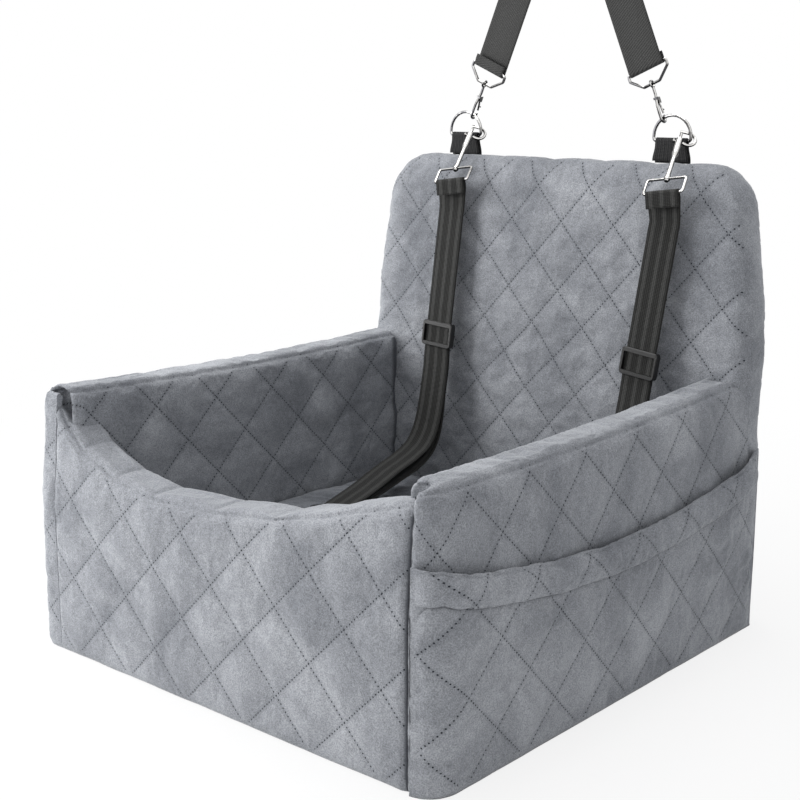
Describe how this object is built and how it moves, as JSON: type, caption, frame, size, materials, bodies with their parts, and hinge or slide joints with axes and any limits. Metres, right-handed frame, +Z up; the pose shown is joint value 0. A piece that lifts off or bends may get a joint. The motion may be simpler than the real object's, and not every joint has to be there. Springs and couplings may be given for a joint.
{
  "type": "dog car seat",
  "caption": "Quilted foam car seat for a small dog: walled bed with backrest and side pockets, a strap for the car's headrest and tethers with swivel snaps for the dog's harness.",
  "frame": {"origin": "centre of the footprint, on the surface that the seat stands on", "axes": "+Z up, -Y to the front, +X to the side with the right pocket as seen from the front"},
  "size_m": [0.4714, 0.4892, 0.6807],
  "materials": {
    "foam": "open-cell polyurethane foam",
    "quilted_velvet": "grey short-pile velvet, diamond quilted",
    "pocket_velvet": "grey short-pile velvet, padded",
    "cushion_velvet": "thin crinkled grey velvet",
    "nonslip_mesh": "black rubberised non-slip fabric",
    "tab_webbing": "black woven webbing",
    "ribbed_webbing": "ribbed charcoal webbing",
    "strap_webbing": "fine twill charcoal webbing",
    "nickel": "polished nickel plate",
    "spring_steel": "spring steel",
    "black_plastic": "semi-gloss black plastic"
  },
  "bodies": {
    "bed": {"backrest_cover": "quilted_velvet", "backrest_foam": "foam", "base_foam": "foam", "front_wall_cover": "quilted_velvet", "front_wall_foam": "foam", "left_side_pocket": "pocket_velvet", "left_wall_cover": "quilted_velvet", "left_wall_foam": "foam", "left_webbing_tab": "tab_webbing", "nonslip_bottom": "nonslip_mesh", "right_side_pocket": "pocket_velvet", "right_wall_cover": "quilted_velvet", "right_wall_foam": "foam", "right_webbing_tab": "tab_webbing", "seat_cushion": "cushion_velvet"},
    "left_ring": {"left_d_ring": "nickel"},
    "right_ring": {"right_d_ring": "nickel"},
    "headrest": {"headrest_strap": "strap_webbing", "left_strap_loop": "nickel", "right_strap_loop": "nickel", "left_trigger_snap": "nickel", "right_trigger_snap": "nickel", "left_lever_pin": "nickel", "right_lever_pin": "nickel"},
    "headrest_slide": {"headrest_slider": "black_plastic"},
    "left_lever": {"left_trigger_lever": "nickel"},
    "right_lever": {"right_trigger_lever": "nickel"},
    "left_upper_snap": {"left_upper_snap_body": "nickel", "left_upper_snap_spring": "spring_steel"},
    "left_upper_snap_plunger": {"left_upper_snap_bolt": "nickel"},
    "left_tether": {"left_upper_swivel_eye": "nickel", "left_tether_webbing": "ribbed_webbing", "left_lower_swivel_eye": "nickel"},
    "left_slide": {"left_tether_slider": "black_plastic"},
    "left_lower_snap": {"left_lower_snap_body": "nickel", "left_lower_snap_spring": "spring_steel"},
    "left_lower_snap_plunger": {"left_lower_snap_bolt": "nickel"},
    "right_upper_snap": {"right_upper_snap_body": "nickel", "right_upper_snap_spring": "spring_steel"},
    "right_upper_snap_plunger": {"right_upper_snap_bolt": "nickel"},
    "right_tether": {"right_upper_swivel_eye": "nickel", "right_tether_webbing": "ribbed_webbing", "right_lower_swivel_eye": "nickel"},
    "right_slide": {"right_tether_slider": "black_plastic"},
    "right_lower_snap": {"right_lower_snap_body": "nickel", "right_lower_snap_spring": "spring_steel"},
    "right_lower_snap_plunger": {"right_lower_snap_bolt": "nickel"}
  },
  "joints": [
    {"name": "left_ring_swing", "type": "hinge", "parent": "bed", "child": "left_ring", "pos_m": [-0.123, 0.23, 0.447], "axis": [1, 0, 0], "range_deg": [-8, 78]},
    {"name": "right_ring_swing", "type": "hinge", "parent": "bed", "child": "right_ring", "pos_m": [0.123, 0.23, 0.447], "axis": [1, 0, 0], "range_deg": [-8, 78]},
    {"name": "headrest_strap_swing", "type": "hinge", "parent": "left_ring", "child": "headrest", "pos_m": [-0.11251, 0.23, 0.46779], "axis": [1, 0, 0], "range_deg": [-80, 25]},
    {"name": "headrest_slider_slide", "type": "slide", "parent": "headrest", "child": "headrest_slide", "axis": [0.3907, 0, -0.9205], "range_m": [-0.004, 0.038]},
    {"name": "left_lever_press", "type": "hinge", "parent": "headrest", "child": "left_lever", "pos_m": [-0.10606, 0.2312, 0.48298], "axis": [-0.9205, 0, 0.3907], "range_deg": [0, 15], "stiffness_Nm_per_rad": 0.01, "springref_deg": -11.46},
    {"name": "left_tether_lift", "type": "hinge", "parent": "bed", "child": "left_upper_snap", "pos_m": [-0.1032, 0.23, 0.448], "axis": [1, 0, 0], "range_deg": [-80, 0]},
    {"name": "left_upper_snap_bolt_pull", "type": "slide", "parent": "left_upper_snap", "child": "left_upper_snap_plunger", "axis": [0.187, -0.708, -0.681], "range_m": [0, 0.0065], "stiffness_N_per_m": 120, "springref_m": -0.003, "deforming": ["left_upper_snap_spring"]},
    {"name": "left_lower_snap_bolt_pull", "type": "slide", "parent": "left_lower_snap", "child": "left_lower_snap_plunger", "axis": [-0.0886, 0.98, -0.1784], "range_m": [0, 0.0065], "stiffness_N_per_m": 120, "springref_m": -0.003, "deforming": ["left_lower_snap_spring"]},
    {"name": "left_tether_swivel", "type": "hinge", "parent": "left_upper_snap", "child": "left_tether", "pos_m": [-0.11107, 0.22455, 0.45113], "axis": [0.187, -0.708, -0.681], "range_deg": [-8, 0]},
    {"name": "left_slider_slide", "type": "slide", "parent": "left_tether", "child": "left_slide", "axis": [0.0652, 0.0789, 0.9948], "range_m": [0, 0.09]},
    {"name": "left_lower_swivel", "type": "hinge", "parent": "left_tether", "child": "left_lower_snap", "pos_m": [-0.08324, -0.07218, 0.1133], "axis": [-0.0886, 0.98, -0.1784], "continuous": true},
    {"name": "right_lever_press", "type": "hinge", "parent": "headrest", "child": "right_lever", "pos_m": [0.10606, 0.2312, 0.48298], "axis": [-0.9205, 0, -0.3907], "range_deg": [0, 15], "stiffness_Nm_per_rad": 0.01, "springref_deg": -11.46},
    {"name": "right_tether_lift", "type": "hinge", "parent": "bed", "child": "right_upper_snap", "pos_m": [0.1428, 0.23, 0.448], "axis": [1, 0, 0], "range_deg": [-80, 0]},
    {"name": "right_upper_snap_bolt_pull", "type": "slide", "parent": "right_upper_snap", "child": "right_upper_snap_plunger", "axis": [0.187, -0.708, -0.681], "range_m": [0, 0.0065], "stiffness_N_per_m": 120, "springref_m": -0.003, "deforming": ["right_upper_snap_spring"]},
    {"name": "right_lower_snap_bolt_pull", "type": "slide", "parent": "right_lower_snap", "child": "right_lower_snap_plunger", "axis": [0.0886, 0.98, -0.1784], "range_m": [0, 0.0065], "stiffness_N_per_m": 120, "springref_m": -0.003, "deforming": ["right_lower_snap_spring"]},
    {"name": "right_tether_swivel", "type": "hinge", "parent": "right_upper_snap", "child": "right_tether", "pos_m": [0.13493, 0.22455, 0.45113], "axis": [0.187, -0.708, -0.681], "range_deg": [-8, 0]},
    {"name": "right_slider_slide", "type": "slide", "parent": "right_tether", "child": "right_slide", "axis": [0.1127, 0.0786, 0.9905], "range_m": [0, 0.09]},
    {"name": "right_lower_swivel", "type": "hinge", "parent": "right_tether", "child": "right_lower_snap", "pos_m": [0.10674, -0.06618, 0.1133], "axis": [0.0886, 0.98, -0.1784], "continuous": true}
  ],
  "couplings": [
    {"joint": "right_ring_swing", "follows": "left_ring_swing", "ratio": 1}
  ]
}
